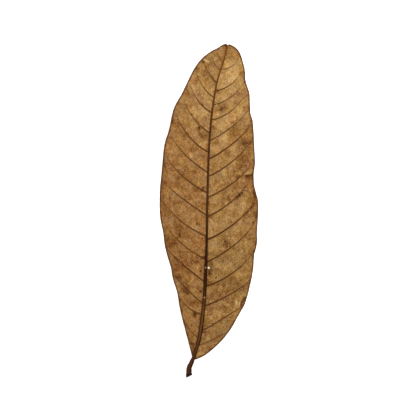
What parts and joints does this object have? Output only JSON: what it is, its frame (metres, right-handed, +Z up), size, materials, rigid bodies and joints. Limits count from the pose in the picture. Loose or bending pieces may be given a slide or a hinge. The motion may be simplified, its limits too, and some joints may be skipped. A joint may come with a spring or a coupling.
{
  "type": "dried longan leaf",
  "caption": "A dried longan leaflet lying ribbed side up: a thin, gently arched blade with raised side ribs, a midrib and a short broken stalk.",
  "frame": {"origin": "middle of the leaf's box at its lowest level, which is the surface that the leaf lies on", "axes": "+Y along the midrib from the stalk to the tip, +Z up, out of the ribbed underside of the leaf, which faces up, +X to the right, towards the broader half at the base"},
  "size_m": [0.0444, 0.15, 0.0062],
  "materials": {
    "leaf": "dry and matt, with a faint sheen on the ribs"
  },
  "bodies": {
    "root": {"leaf": "leaf"}
  },
  "joints": []
}
